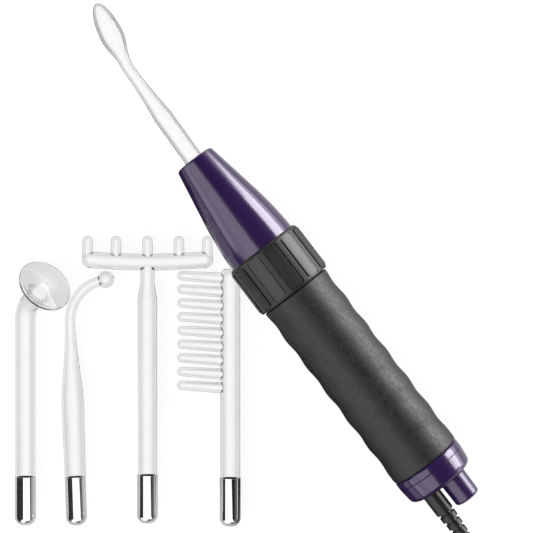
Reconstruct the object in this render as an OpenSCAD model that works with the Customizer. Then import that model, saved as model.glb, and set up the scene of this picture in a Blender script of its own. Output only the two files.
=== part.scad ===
// Violet ray set laid on a table: handpiece with a fitted glass electrode,
// four spare electrodes and a plug-in mains lead.
// Millimetres, +Z up, handpiece along X with its nose towards +X.

/* [Electrode caps] */
// width of a metal electrode cap
cap_d = 11.2; // [10:0.1:14]
// length of a metal electrode cap
cap_len = 26; // [22:0.5:32]
// rounding of a cap's closed end
cap_round = 4.4; // [1.5:0.1:4.6]
// wall of a metal electrode cap
cap_wall = 0.5; // [0.4:0.1:0.8]
// wall of the glass
glass_wall = 1; // [0.8:0.1:1.2]

/* [Fitted electrode] */
// width of the glass stem
stem_d = 10; // [8.5:0.1:10.1]
// plain stem in front of the nose
stem_len = 25; // [20:0.5:40]
// taper from the stem to the neck
stem_taper = 25; // [18:0.5:30]
// width of the neck
neck_d = 6.2; // [5:0.1:7.4]
// plain neck before the bend
neck_len = 6; // [3:0.2:8]
// bend between the neck and the leaf
leaf_bend = 9.4; // [2:0.2:20]
// length of the leaf
leaf_len = 35.7; // [28:0.1:43]
// greatest width of the leaf
leaf_w = 12.5; // [10:0.1:15]
// neck to the widest place of the leaf
leaf_mid = 17; // [14:0.5:20]

/* [Nose and collar] */
// nose cone that shows in front of the collar
cone_len = 59; // [55:0.5:72]
// straight taper of the nose cone
taper_len = 46; // [42:0.5:52]
// width where the taper ends
taper_d = 38.2; // [36:0.1:39]
// width of the nose cone at the collar
cone_d = 39; // [38.5:0.1:47]
// wall of the nose cone
nose_wall = 2.2; // [1.6:0.1:2.6]
// thickness of the nose face
nose_face = 3; // [2:0.2:4]
// length of the collar
collar_len = 28.5; // [26:0.5:36]
// wall of the collar over its hub
collar_wall = 0.9; // [0.9:0.1:2]
// raised pads round the collar
pad_count = 12; // [8:1:14]
// width of a pad
pad_w = 7; // [5:0.2:8]
// length of a pad
pad_len = 24.4; // [18:0.2:24.6]
// height of a pad over the collar
pad_rise = 0.4; // [0.2:0.1:0.7]

/* [Handle] */
// width of the handle tube
tube_d = 34; // [33:0.5:41]
// wall of the handle tube
tube_wall = 1.5; // [1:0.1:1.8]
// mean thickness of the foam
foam_t = 2.55; // [2:0.05:3.2]
// length of the foam grip
foam_len = 113.2; // [106:0.2:140]
// finger waves along the foam
wave_count = 6; // [4:1:8]
// length of one finger wave
wave_len = 18; // [14:0.5:18.5]
// height of a wave over the mean
wave_rise = 0.36; // [0.2:0.02:0.6]
// length of the end cap
end_cap_len = 14.4; // [13:0.2:18]
// end cap's rise over the handle tube
end_cap_rise = 2.9; // [2.6:0.1:3.4]
// seam line behind the foam
seam_at = 4.4; // [3:0.2:6]

/* [Knob and lead] */
// width of the knob
knob_d = 14.8; // [12:0.2:18]
// length of the knob
knob_len = 14.6; // [11:0.2:18]
// width of the lead connector
plug_w = 10; // [9.6:0.2:11]
// height of the lead connector
plug_h = 14.4; // [14:0.2:16]
// lead connector outside the end cap
plug_len = 13; // [10:0.5:18]
// strain relief behind the connector
relief_len = 22; // [20:0.5:30]
// width of the cord
cord_d = 4.4; // [4:0.1:4.6]
// turns of the put-away coil
coil_turns = 10.25; // [8.25:1:10.25]
// inner mid-turn radius of the coil
coil_inner = 20.5; // [18:0.5:24]

/* [Mushroom electrode] */
// width of the mushroom's tube
mush_d = 10.7; // [10.3:0.1:13]
// cap end to the start of the bend
mush_len = 111; // [90:0.5:116]
// bend of the mushroom's tube
mush_bend = 58; // [40:1:70]
// mid radius of the bend
mush_turn = 11; // [9:0.5:14]
// width of the mushroom's head
head_d = 30; // [24:0.5:31]

/* [Ball electrode] */
// greatest width of the ball probe's body
ball_body_d = 12; // [11:0.1:14]
// cap end to the start of the probe's bend
ball_len = 109.5; // [100:0.5:112]
// width of the probe's neck
ball_neck_d = 5.3; // [4.6:0.1:6]
// mid radius of the probe's bend
ball_turn = 22.5; // [18:0.5:24]
// width of the ball
ball_d = 9; // [7.5:0.1:9.5]

/* [Rake electrode] */
// width of the rake's stem
rake_d = 10.4; // [9.6:0.1:11]
// cap end to the middle of the bar
rake_len = 141; // [125:0.5:143]
// width of the rake's neck
rake_neck_d = 7.7; // [7:0.1:9]
// width of the bar
bar_d = 8.9; // [8:0.1:9.6]
// end to end length of the bar
bar_len = 70.6; // [66:0.2:71]
// width of a prong
prong_d = 5.5; // [5:0.1:6.4]
// prong's reach over the middle of the bar
prong_len = 14; // [11:0.2:17]
// step between the inner prongs
prong_step = 17; // [13:0.2:17.4]

/* [Comb electrode] */
// width of the comb's tube
comb_d = 10.7; // [10.3:0.1:12]
// cap end to the tip of the comb's tube
comb_len = 139; // [120:0.5:139.5]
// teeth of the comb
tooth_count = 9; // [5:1:9]
// step between teeth
tooth_step = 7.4; // [6.6:0.1:7.4]
// width of a tooth at its tip
tooth_d = 5; // [4.4:0.1:5.4]
// width of a tooth at its root
tooth_root_d = 6.2; // [5.4:0.1:6.4]
// tooth's reach beside the tube
tooth_len = 23.2; // [16:0.2:25]

/* [Hidden] */
$fn = 64;
// bead over a glass joint
bead = 0.08;
// clearance of a fit, of a turning part and of the electrode in its socket
fit = 0.05;
turn_gap = 0.3;
socket_gap = 0.1;

// socket in the nose, measured back from the nose face
cap_sink = 2;
mouth_rise = 0.4;
sleeve_wall = 1.3;
insulator_wall = 2;
spring_room = 3;
guide_len = 4;
plunger_r = 2;
plunger_head_r = 3.6;
plunger_head_t = 1.5;
plunger_out = 3;
washer_t = 0.6;
clip_r = 3.2;
clip_t = 0.8;
lead_r = 0.8;
cap_back = cap_sink + cap_len;
sleeve_in = cap_d / 2 + socket_gap;
sleeve_out = sleeve_in + sleeve_wall;
sleeve_back = cap_back + 3;
insulator_r = sleeve_out + fit + insulator_wall;
guide_front = sleeve_back + spring_room;
guide_back = guide_front + guide_len;
high_lead_x = clip_r + 0.15 + lead_r;

// nose cone
nose_r = insulator_r + nose_wall;
nose_round = 1.5;
function cone_r(z) = nose_r + (taper_d / 2 - nose_r) * z / taper_len;
function cone_in(z) = min(cone_r(z), taper_d / 2) - nose_wall;
lip_len = 3;
flange_t = 3;
flange_rise = 1.05;
play = 0.1;
flange_front = cone_len + lip_len + play;
hub_front = flange_front + flange_t;

// collar
hub_r = cone_d / 2 + flange_rise;
collar_r = hub_r + fit + collar_wall;
pad_r = collar_r + pad_rise;
collar_front_round = 2.2;
collar_back_round = 1.2;
pad_phase = -8.5;
pad_corner = 1.1;
pad_groove_w = 0.7;
pad_groove_t = 0.4;
collar_back = cone_len + collar_len;

// handle and end cap
tube_r = tube_d / 2;
tube_in = tube_r - tube_wall;
foam_r = tube_r + fit + foam_t;
axis_z = max(pad_r, foam_r + wave_rise, tube_r + end_cap_rise);
foam_front = collar_back + turn_gap;
foam_back = foam_front + foam_len;
end_cap_r = tube_r + end_cap_rise;
end_cap_back = foam_back + end_cap_len;
plate_t = 3;
spigot_len = 11.5;
spigot_wall = 2;
spigot_root = 1.3;
end_cap_wall = 2.5;
end_cap_round = 3.4;
spigot_front = foam_back - spigot_len;

// knob and lead connector, either side of the gap between them
port_gap = 1.6;
port_y = 2.1;
knob_y = port_y - port_gap / 2 - knob_d / 2;
plug_y = port_y + port_gap / 2 + plug_w / 2;
knob_gap = 0.8;
knob_front = end_cap_back + knob_gap;
knob_back = knob_front + knob_len;
spindle_r = 2;
spindle_seat = 9;
bush_r = 3.5;
bush_flange_r = 5;
bush_flange_t = 3;
bush_out = 1.5;
plug_front = end_cap_back + turn_gap;
plug_back = plug_front + plug_len;
relief_back = plug_back + relief_len;
relief_front_r = 3.5;
rib_t = 3;
rib_step = 4.9;
rib_front = 1.9;
rib_count = floor((relief_len - rib_front) / rib_step);
tongue_w = 8.2;
tongue_h = 13.4;
tongue_len = 10.5;
tongue_gap = 0.15;
inlet_wall = 2.25;
pin_r = 1.18;
pin_half = 4.33;
pin_tail = 3.4;
inlet_front = end_cap_back - plate_t;
inlet_floor = end_cap_back - tongue_len - 0.5;
inlet_back_t = 2;

// transformer
former_r = 7;
former_in = 5;
former_flange_t = 2.5;
former_front = guide_back;
secondary_len = 27;
winding_gap = 3;
primary_len = 28;
secondary_t = 6.4;
primary_t = 5;
secondary_front = former_front + former_flange_t;
spacer_front = secondary_front + secondary_len;
primary_front = spacer_front + winding_gap;
former_rear_flange = primary_front + primary_len;
former_back = former_rear_flange + former_flange_t;

// chassis and interrupter, measured back from the coil former
board_drop = 10;
board_t = 1.6;
board_gap = 0.2;
board_half = sqrt(pow(tube_in - board_gap, 2) - pow(board_drop + board_t, 2));
box_half = 7.5;
box_h = 9;
box_front = former_back + 2.5;
box_len = 14;
carriage_front = former_back + 20;
carriage_len = 8;
carriage_half = 3.9;
carriage_top = 5;
arm_t = 3;
contact_r = 1.4;
contact_x = 6;
contact_len = 2.5;
contact_gap = 1.1;
contact_face = carriage_front + 5 + contact_len;
reed_t = 0.4;
reed_half = 3;
reed_top = 9;
reed_contact_t = 1.2;
reed_front = contact_face + contact_gap + reed_contact_t;
reed_mid = reed_front + reed_t / 2;
reed_root = -9;
post_top = -5;
post_half_len = 2;
reed_slot = 0.15;
armature_r = 4;
armature_t = 2;
armature_x = -0.5;
pole_gap = 1.2;
core_r = 3;
core_front = reed_front + reed_t + armature_t + pole_gap;
bobbin_flange_r = 7;
bobbin_flange_t = 1.2;
bobbin_wall = 0.95;
bobbin_front = core_front + 1.6;
bobbin_len = 24;
magnet_wound_r = 6.4;
bracket_front = bobbin_front + bobbin_len + 2;
bracket_t = 2;
bracket_half = 5;
bracket_top = 6.5;
foot_len = 10;
foot_t = 1.6;
magnet_y = knob_y + spindle_r + 1.1 + bobbin_flange_r;
primary_lead_x = 0.15 + lead_r - board_drop;
screw_r = 1;
screw_head_r = 1.9;
screw_head_t = 1.4;

// layout on the table: the spares lie turned from the handpiece
layout_turn = -127.5;
spares_x = -68.2;
spares_shift = -17.9;
mush_at = [-130.2, -139.5];
ball_at = [-102.4, -139.5];
rake_at = [-64.3, -138.6];
comb_at = [-19.6, -140.2];
ball_lean = 1.9;
mush_roll = -50;
spares_y = pad_r + spares_shift;
leaf_tip = stem_len + stem_taper + neck_len + 6.2 + leaf_len * cos(leaf_bend + 1.8);
spares_reach = spares_y - mush_at[0] * 0.793 - mush_at[1] * 0.609 + cap_d * 0.31;
nose_x = (knob_back - leaf_tip) / 2;
wand_y = (pad_r - spares_reach) / 2;

// cord: free run from the strain relief, coil, free tail to the mains plug
cord_r = cord_d / 2;
tie_t = 0.6;
tie_w = 6;
coil_step = cord_d + 0.5;
coil_layers = 4;
layer_turns = coil_turns / coil_layers;
coil_outer = coil_inner + coil_step * layer_turns;
coil_low = tie_t + 0.1 + cord_r;
coil_high = coil_low + coil_step * (coil_layers - 1);
exit_at = [nose_x - relief_back, wand_y + plug_y];
run_points = [
    [0, 0, axis_z],
    [-5, 0, axis_z],
    [-13, 0, 20.8],
    [-21, 0, 17.6],
    [-28, 0, 12.4],
    [-35, 0, 7.2],
    [-43, 0, 4],
    [-51, 0, coil_low],
    [-56, 0, coil_low]
];
coil_at = [exit_at[0] - 56 - cord_d, exit_at[1] + coil_outer];
tail_points = [
    [0, 0, coil_high],
    [0, 5, coil_high],
    [-1, 13, 16.4],
    [-3, 22, 13.6],
    [-5, 31, 10.2],
    [-6.5, 40, 7.8],
    [-7, 49, 6.8],
    [-7, 54, 6.8]
];
tail_at = [coil_at[0] - coil_outer, coil_at[1] + cord_d];
plug_relief_len = 22;
mains_at = [tail_at[0] - 7, tail_at[1] + 54 + plug_relief_len];
mains_t = 13.6;
mains_len = 36;
mains_half = 17;
mains_back_half = 7;
mains_pin_r = 2;
mains_pin_len = 19;
mains_pin_half = 9.3;

// handpiece frame: z runs back from the nose face, x is up, y is across
module handpiece() {
    translate([nose_x, wand_y, axis_z])
        rotate([0, -90, 0])
            children();
}

module at_knob() {
    translate([0, knob_y, 0])
        children();
}

module at_plug() {
    translate([0, plug_y, 0])
        children();
}

module at_magnet() {
    translate([armature_x, magnet_y, 0])
        children();
}

// electrode frame on the table: z runs from the cap end to the head, x is right
module lay(at, lean, rise) {
    translate([nose_x + spares_x, wand_y + spares_y, 0])
        rotate([0, 0, layout_turn])
            translate([at[0], at[1], rise])
                rotate([-90, 0, lean])
                    children();
}

// electrode frame in the socket
module socketed() {
    handpiece()
        translate([0, 0, cap_back])
            rotate([180, 0, 0])
                rotate([0, 0, 90])
                    children();
}

function arc_points(cx, cy, r, from, to, n) =
    [for (i = [0:n]) let (a = from + (to - from) * i / n) [cx + r * cos(a), cy + r * sin(a)]];

function bend_points(a, b, c, n) =
    [for (i = [0:n]) let (u = i / n) a * pow(1 - u, 2) + b * 2 * u * (1 - u) + c * u * u];

module ring(outer, inner, from, to) {
    translate([0, 0, from])
        difference() {
            cylinder(r = outer, h = to - from);
            translate([0, 0, -1])
                cylinder(r = inner, h = to - from + 2);
        }
}

module rod(r, from, to) {
    translate([0, 0, from])
        cylinder(r = r, h = to - from);
}

module slab(x0, x1, y0, y1, z0, z1) {
    translate([x0, y0, z0])
        cube([x1 - x0, y1 - y0, z1 - z0]);
}

// upright oblong with round ends, w across and h high
module oblong(w, h, from, to) {
    translate([0, 0, from])
        linear_extrude(to - from)
            union() {
                square([h - w, w], center = true);
                translate([(h - w) / 2, 0])
                    circle(d = w);
                translate([(w - h) / 2, 0])
                    circle(d = w);
            }
}

module round_plate(l, w, r) {
    union() {
        square([l - 2 * r, w], center = true);
        square([l, w - 2 * r], center = true);
        for (i = [-1, 1])
            for (j = [-1, 1])
                translate([i * (l / 2 - r), j * (w / 2 - r)])
                    circle(r = r);
    }
}

// bend with a faint bead over its far joint
module elbow(r, turn, a) {
    translate([turn, 0, 0])
        rotate([90, 0, 180])
            rotate_extrude(angle = a)
                translate([turn, 0])
                    circle(r = r);
    translate([turn * (1 - cos(a)), 0, turn * sin(a)])
        sphere(r = r + bead);
}

module past_bend(turn, a) {
    translate([turn * (1 - cos(a)), 0, turn * sin(a)])
        rotate([0, a, 0])
            children();
}

// bar with one domed end, of radius r there and root at its other end
module capsule(r, root, l) {
    rotate_extrude()
        union() {
            polygon([[0, 0], [root, 0], [r, l - r], [0, l - r]]);
            translate([0, l - r])
                intersection() {
                    circle(r = r);
                    square(r);
                }
        }
}

function tube_ring(p, ahead, r, sides, start, level) =
    let (t = ahead / norm(ahead))
    let (s = cross(t, level) / norm(cross(t, level)))
    let (u = cross(s, t))
    [for (k = [0:sides - 1]) let (a = start + 360 * k / sides) p + r * cos(a) * s + r * sin(a) * u];

function tube_points(route, r, sides, start, level) =
    let (last = len(route) - 1)
    [for (i = [0:last]) let (ahead = route[min(i + 1, last)] - route[max(i - 1, 0)])
        each tube_ring(route[i], ahead, r, sides, start, level)];

function tube_faces(n, sides) = concat(
    [for (i = [0:n - 2]) for (j = [0:sides - 1]) let (k = (j + 1) % sides)
        each [[i * sides + j, i * sides + k, (i + 1) * sides + k],
            [i * sides + j, (i + 1) * sides + k, (i + 1) * sides + j]]],
    [for (j = [1:sides - 2]) [0, j + 1, j]],
    [for (j = [1:sides - 2]) let (b = (n - 1) * sides) [b, b + j, b + j + 1]]);

// round tube along a route, its rings kept level to one direction
module tube(route, r, sides, start, level = [0, 0, 1]) {
    polyhedron(points = tube_points(route, r, sides, start, level), faces = tube_faces(len(route), sides));
}

module nose_cone() {
    color("rebeccapurple") handpiece() difference() {
        rotate_extrude()
            polygon(concat(
                [[0, 0]],
                arc_points(nose_r - nose_round, nose_round, nose_round, -90, -9, 5),
                bend_points([cone_r(2 * taper_len - cone_len), 2 * taper_len - cone_len],
                    [taper_d / 2, taper_len], [cone_d / 2, cone_len], 8),
                [[cone_d / 2, flange_front], [hub_r - 0.15, flange_front], [hub_r - 0.15, hub_front],
                    [0, hub_front]]));
        rotate_extrude()
            polygon([[0, nose_face], [cone_in(nose_face), nose_face], [cone_in(taper_len), taper_len],
                [cone_in(taper_len), hub_front + 1], [0, hub_front + 1]]);
        rod(cap_d / 2 + mouth_rise, -1, nose_face + 1);
    }
}

module at_pads() {
    for (i = [0:pad_count - 1])
        rotate([0, 0, pad_phase + i * 360 / pad_count])
            translate([hub_r, 0, cone_len + collar_front_round + 0.3 + pad_len / 2])
                rotate([0, 90, 0])
                    linear_extrude(collar_wall + 2)
                        children();
}

module collar() {
    color("dimgray") handpiece() difference() {
        union() {
            rotate_extrude()
                polygon(concat(
                    [[0, cone_len]],
                    arc_points(collar_r - collar_front_round, cone_len + collar_front_round,
                        collar_front_round, -90, 0, 5),
                    arc_points(collar_r - collar_back_round, collar_back - collar_back_round,
                        collar_back_round, 0, 40, 3),
                    [[hub_r + fit + 0.4, collar_back], [0, collar_back]]));
            intersection() {
                rod(pad_r, cone_len, collar_back);
                at_pads()
                    round_plate(pad_len, pad_w, pad_corner);
            }
        }
        intersection() {
            ring(pad_r + 1, collar_r - pad_groove_t, cone_len, collar_back);
            at_pads()
                difference() {
                    round_plate(pad_len + 2 * pad_groove_w, pad_w + 2 * pad_groove_w, pad_corner + pad_groove_w);
                    round_plate(pad_len, pad_w, pad_corner);
                }
        }
        rod(cone_d / 2 + turn_gap, cone_len - 1, collar_back + 1);
        rod(hub_r + fit, cone_len + lip_len, collar_back + 1);
    }
}

module handle_tube() {
    color("darkslategray") handpiece() union() {
        ring(hub_r, tube_in, hub_front, collar_back - 1);
        ring(tube_r, tube_in, collar_back - 1, foam_back);
    }
}

function foam_at(z) = foam_r + wave_rise * cos(360 * min(z, wave_count * wave_len) / wave_len);

module foam_grip() {
    color("black") handpiece() translate([0, 0, foam_front])
        rotate_extrude()
            polygon(concat(
                [[tube_r + fit, 0]],
                [for (i = [0:wave_count * 8]) let (z = i * wave_len / 8) [foam_at(z), z]],
                [[foam_r + wave_rise, foam_len - 0.8], [foam_r + wave_rise - 0.8, foam_len],
                    [tube_r + fit, foam_len]]));
}

module end_cap() {
    color("rebeccapurple") handpiece() difference() {
        rotate_extrude()
            polygon(concat(
                [[0, spigot_front], [tube_in - fit, spigot_front], [tube_in - fit, foam_back],
                    [end_cap_r - 1, foam_back]],
                arc_points(end_cap_r - 1.4, foam_back + 1.4, 1.4, -60, 0, 3),
                [[end_cap_r, foam_back + seam_at - 0.3], [end_cap_r - 0.3, foam_back + seam_at],
                    [end_cap_r, foam_back + seam_at + 0.3]],
                arc_points(end_cap_r - end_cap_round - 0.7, end_cap_back - end_cap_round,
                    end_cap_round, 0, 90, 5),
                [[0, end_cap_back]]));
        rod(tube_in - spigot_wall, spigot_front - 1, foam_back + spigot_root);
        rod(end_cap_r - end_cap_wall, foam_back + spigot_root, end_cap_back - plate_t);
        at_knob()
            rod(bush_r + fit, foam_back, end_cap_back + 1);
        at_plug()
            oblong(tongue_w + 2 * tongue_gap, tongue_h + 2 * tongue_gap, foam_back, end_cap_back + 1);
    }
}

module power_inlet() {
    color("dimgray") handpiece() at_plug() difference() {
        oblong(tongue_w + 2 * inlet_wall, tongue_h + 2 * inlet_wall, inlet_floor - inlet_back_t, inlet_front);
        oblong(tongue_w + 2 * tongue_gap, tongue_h + 2 * tongue_gap, inlet_floor, inlet_front + 1);
        for (i = [-1, 1])
            translate([i * pin_half, 0, 0])
                rod(pin_r + fit, inlet_floor - inlet_back_t - 1, inlet_floor + 1);
    }
}

module inlet_pins() {
    color("gold") handpiece() at_plug()
        for (i = [-1, 1])
            translate([i * pin_half, 0, 0])
                rod(pin_r, inlet_floor - inlet_back_t - pin_tail, inlet_front);
}

module spindle_bush() {
    color("goldenrod") handpiece() at_knob() difference() {
        union() {
            rod(bush_flange_r, end_cap_back - plate_t - bush_flange_t, end_cap_back - plate_t);
            rod(bush_r, end_cap_back - plate_t, end_cap_back + bush_out);
        }
        rod(spindle_r + fit, end_cap_back - plate_t - bush_flange_t - 1, end_cap_back + bush_out + 1);
    }
}

module knob() {
    color("rebeccapurple") handpiece() at_knob() difference() {
        rotate_extrude()
            polygon(concat(
                [[0, knob_front], [knob_d / 2 - 0.6, knob_front], [knob_d / 2, knob_front + 0.6]],
                arc_points(knob_d / 2 - 1.8, knob_back - 1.8, 1.6, 0, 80, 5),
                [[0, knob_back]]));
        rod(bush_r + 0.8, knob_front - 1, knob_front + bush_out + 0.5);
        rod(spindle_r + fit, knob_front, knob_front + spindle_seat);
    }
}

module knob_spindle() {
    color("silver") handpiece() at_knob()
        rod(spindle_r, carriage_front - 1.5, knob_front + spindle_seat);
}

module contact_carriage() {
    color("goldenrod") handpiece() difference() {
        union() {
            slab(-board_drop + play, carriage_top, knob_y - carriage_half, knob_y + carriage_half,
                carriage_front, carriage_front + carriage_len);
            slab(carriage_top - 3, contact_x + 2, knob_y, magnet_y + 2,
                carriage_front + 2, carriage_front + 2 + arm_t);
        }
        at_knob()
            rod(spindle_r + fit, carriage_front - 1, carriage_front + carriage_len + 1);
    }
}

module fixed_contact() {
    color("lightgray") handpiece() translate([contact_x, magnet_y, 0])
        rod(contact_r, carriage_front + 5, contact_face);
}

module reed_post() {
    color("goldenrod") handpiece() difference() {
        slab(-board_drop, post_top, magnet_y - reed_half - 1, magnet_y + reed_half + 1,
            reed_mid - post_half_len, reed_mid + post_half_len);
        slab(reed_root - 0.3, post_top + 1, magnet_y - reed_half - 2, magnet_y + reed_half + 2,
            reed_front - reed_slot, reed_front + reed_t + reed_slot);
    }
}

module reed() {
    color("steelblue") handpiece()
        slab(reed_root, reed_top, magnet_y - reed_half, magnet_y + reed_half, reed_front, reed_front + reed_t);
}

module armature() {
    color("gray") handpiece() at_magnet()
        rod(armature_r, reed_front + reed_t, reed_front + reed_t + armature_t);
}

module reed_contact() {
    color("lightgray") handpiece() translate([contact_x, magnet_y, 0])
        rod(contact_r, reed_front - reed_contact_t, reed_front);
}

module magnet_core() {
    color("gray") handpiece() at_magnet()
        rod(core_r, core_front, bracket_front + bracket_t);
}

module magnet_bobbin() {
    color("tan") handpiece() at_magnet() union() {
        ring(core_r + fit + bobbin_wall, core_r + fit, bobbin_front, bobbin_front + bobbin_len);
        ring(bobbin_flange_r, core_r + fit, bobbin_front, bobbin_front + bobbin_flange_t);
        ring(bobbin_flange_r, core_r + fit, bobbin_front + bobbin_len - bobbin_flange_t, bobbin_front + bobbin_len);
    }
}

module magnet_winding() {
    color("chocolate") handpiece() at_magnet()
        ring(magnet_wound_r, core_r + 2 * fit + bobbin_wall, bobbin_front + bobbin_flange_t,
            bobbin_front + bobbin_len - bobbin_flange_t);
}

module magnet_bracket() {
    color("slategray") handpiece() difference() {
        union() {
            slab(-board_drop, bracket_top, magnet_y - bracket_half, magnet_y + bracket_half,
                bracket_front, bracket_front + bracket_t);
            slab(-board_drop, -board_drop + foot_t, magnet_y - bracket_half, magnet_y + bracket_half,
                bracket_front, bracket_front + bracket_t + foot_len);
        }
        at_magnet()
            rod(core_r + fit, bracket_front - 1, bracket_front + bracket_t + 1);
        bracket_holes(screw_r + fit);
    }
}

module bracket_holes(r) {
    for (i = [-1, 1])
        translate([-board_drop - board_t - 1, magnet_y + i * 2.5, bracket_front + bracket_t + foot_len / 2])
            rotate([0, 90, 0])
                cylinder(r = r, h = board_t + foot_t + 2);
}

module bracket_screws() {
    color("silver") handpiece()
        for (i = [-1, 1])
            translate([-board_drop - board_t, magnet_y + i * 2.5, bracket_front + bracket_t + foot_len / 2])
                rotate([0, 90, 0])
                    union() {
                        rod(screw_r, 0, board_t + foot_t);
                        rod(screw_head_r, board_t + foot_t, board_t + foot_t + screw_head_t);
                    }
}

module chassis_board() {
    color("peru") handpiece() difference() {
        slab(-board_drop - board_t, -board_drop, -board_half, board_half, former_back, spigot_front);
        bracket_holes(screw_r + fit);
    }
}

module capacitor() {
    color("khaki") handpiece()
        slab(-board_drop, box_h - board_drop, -box_half, box_half, box_front, box_front + box_len);
}

module coil_former() {
    color("wheat") handpiece() difference() {
        union() {
            rod(former_r, former_front, former_back);
            rod(cone_in(former_front) - 0.2, former_front, former_front + former_flange_t);
            rod(former_r + primary_t, spacer_front, primary_front);
            rod(tube_in - 0.15, former_rear_flange, former_back);
        }
        rod(former_in, former_front - 1, former_back + 1);
        translate([primary_lead_x, 0, 0])
            rod(lead_r + fit, former_rear_flange - 1, former_back + 1);
    }
}

module secondary_winding() {
    color("sienna") handpiece()
        ring(former_r + fit + secondary_t, former_r + fit, secondary_front, spacer_front);
}

module primary_winding() {
    color("chocolate") handpiece()
        ring(former_r + fit + primary_t, former_r + fit, primary_front, former_rear_flange);
}

module socket_insulator() {
    color("ivory") handpiece() difference() {
        union() {
            rod(insulator_r, nose_face, guide_back);
            rod(cone_in(guide_back - 2) - 0.2, guide_back - 2, guide_back);
        }
        rod(sleeve_out + fit, nose_face - 1, sleeve_back);
        rod(sleeve_in, sleeve_back, guide_front);
        rod(plunger_r + fit, guide_front - 1, guide_back + 1);
        translate([high_lead_x, 0, 0])
            rod(lead_r + fit, guide_front - 1, guide_back + 1);
    }
}

module socket_sleeve() {
    color("gold") handpiece()
        ring(sleeve_out, sleeve_in, nose_face, sleeve_back);
}

module contact_plunger() {
    color("gold") handpiece() union() {
        rod(plunger_head_r, cap_back, cap_back + plunger_head_t);
        rod(plunger_r, cap_back + plunger_head_t, guide_back + plunger_out);
    }
}

module plunger_clip() {
    color("silver") handpiece()
        ring(clip_r, plunger_r + fit, guide_back, guide_back + clip_t);
}

module plunger_spring() {
    color("silver") handpiece()
        ring(plunger_r + 1.1, plunger_r + 0.4, cap_back + plunger_head_t, guide_front - washer_t);
}

module spring_washer() {
    color("gold") handpiece()
        ring(sleeve_in - fit, plunger_r + 0.2, guide_front - washer_t, guide_front);
}

module high_voltage_lead() {
    color("red") handpiece() translate([high_lead_x, 0, 0])
        rod(lead_r, guide_front, secondary_front + 16);
}

module primary_lead() {
    color("red") handpiece() translate([primary_lead_x, 0, 0])
        rod(lead_r, former_rear_flange, box_front);
}

module supply_lead() {
    color("saddlebrown") handpiece()
        tube([
            [pin_half, plug_y, inlet_floor - inlet_back_t - pin_tail],
            [pin_half, plug_y, inlet_floor - inlet_back_t - pin_tail - 4],
            [bracket_top + 1.5, magnet_y + 2.5, bracket_front + bracket_t + 9],
            [bracket_top + 2, magnet_y + 1, bracket_front + bracket_t + 5],
            [bracket_top + lead_r + 0.05, magnet_y, bracket_front + bracket_t],
            [bracket_top + lead_r + 0.05, magnet_y, bracket_front]
        ], lead_r, 8, 22.5, [1, 0, 0]);
}

module return_lead() {
    color("royalblue") handpiece()
        tube([
            [-pin_half, plug_y, inlet_floor - inlet_back_t - pin_tail],
            [-pin_half, plug_y, inlet_floor - inlet_back_t - pin_tail - 4],
            [-6, 10.8, bracket_front + bracket_t + foot_len],
            [-6, 11.2, bracket_front],
            [-6, 11.2, reed_front],
            [-6, 10.2, box_front + box_len + 6],
            [-6, 9, box_front + box_len + 1],
            [-6, box_half + lead_r + 0.05, box_front + box_len - 4],
            [-6, box_half + lead_r + 0.05, box_front + box_len - 9]
        ], lead_r, 8, 22.5, [1, 0, 0]);
}

// metal cap, closed and well rounded at its end
module electrode_cap() {
    floor_z = max(2.6, cap_round - 1);
    rotate_extrude()
        polygon(concat(
            [[0, 0]],
            arc_points(cap_d / 2 - cap_round, cap_round, cap_round, -90, 0, 9),
            [[cap_d / 2, cap_len], [cap_d / 2 - cap_wall, cap_len],
                [cap_d / 2 - cap_wall, floor_z], [0, floor_z]]));
}

// glass end that is cemented into a cap and meets a tube of radius r
module glass_root(r) {
    root_r = cap_d / 2 - cap_wall - fit;
    ring(root_r, min(root_r, r) - glass_wall, 4, cap_len);
}

function leaf_r(z, w) = z < leaf_mid
    ? neck_d / 2 - w + (leaf_w - neck_d) * (1 - cos(180 * z / leaf_mid)) / 4
    : (leaf_w / 2 - w) * sqrt(max(0, 1 - pow((z - leaf_mid) / (leaf_len - leaf_mid - w), 2)));

function leaf_outline(w) = concat(
    [for (i = [0:12]) let (z = leaf_mid * i / 12) [leaf_r(z, w), z]],
    [for (i = [1:14]) let (z = leaf_mid + (leaf_len - leaf_mid - w) * sin(6 * i)) [leaf_r(z, w), z]],
    [[0, leaf_len - w]]);

function stem_outline(w) = concat(
    [[0, 0], [stem_d / 2 - w, 0], [stem_d / 2 - w, stem_len]],
    [for (i = [1:9]) let (u = i / 10)
        [neck_d / 2 - w + (stem_d - neck_d) * pow(1 - u, 1.4) / 2, stem_len + stem_taper * u]],
    [[neck_d / 2 - w, stem_len + stem_taper], [neck_d / 2 - w, neck_front], [0, neck_front]]);

stem_lean = 1.8;
lean_turn = 100;
neck_turn = 19;
neck_front = stem_len + stem_taper + neck_len;

module leaf_form(w, from) {
    rod(stem_d / 2 - w, from, cap_back);
    translate([0, 0, cap_back]) {
        elbow(stem_d / 2 - w, lean_turn, stem_lean);
        past_bend(lean_turn, stem_lean) {
            rotate_extrude()
                polygon(stem_outline(w));
            translate([0, 0, neck_front]) {
                elbow(neck_d / 2 - w, neck_turn, leaf_bend);
                past_bend(neck_turn, leaf_bend)
                    rotate_extrude()
                        polygon(concat([[0, 0]], leaf_outline(w)));
            }
        }
    }
}

module leaf_glass() {
    color("lightcyan") socketed() union() {
        glass_root(stem_d / 2);
        difference() {
            leaf_form(0, cap_len);
            leaf_form(glass_wall, cap_len - 1);
        }
    }
}

module leaf_cap() {
    color("silver") socketed()
        electrode_cap();
}

head_len = 16.8;
rim_r = 1.6;
dome_rise = 1.7;
mush_rise = max(cap_d, mush_d) / 2;

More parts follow.
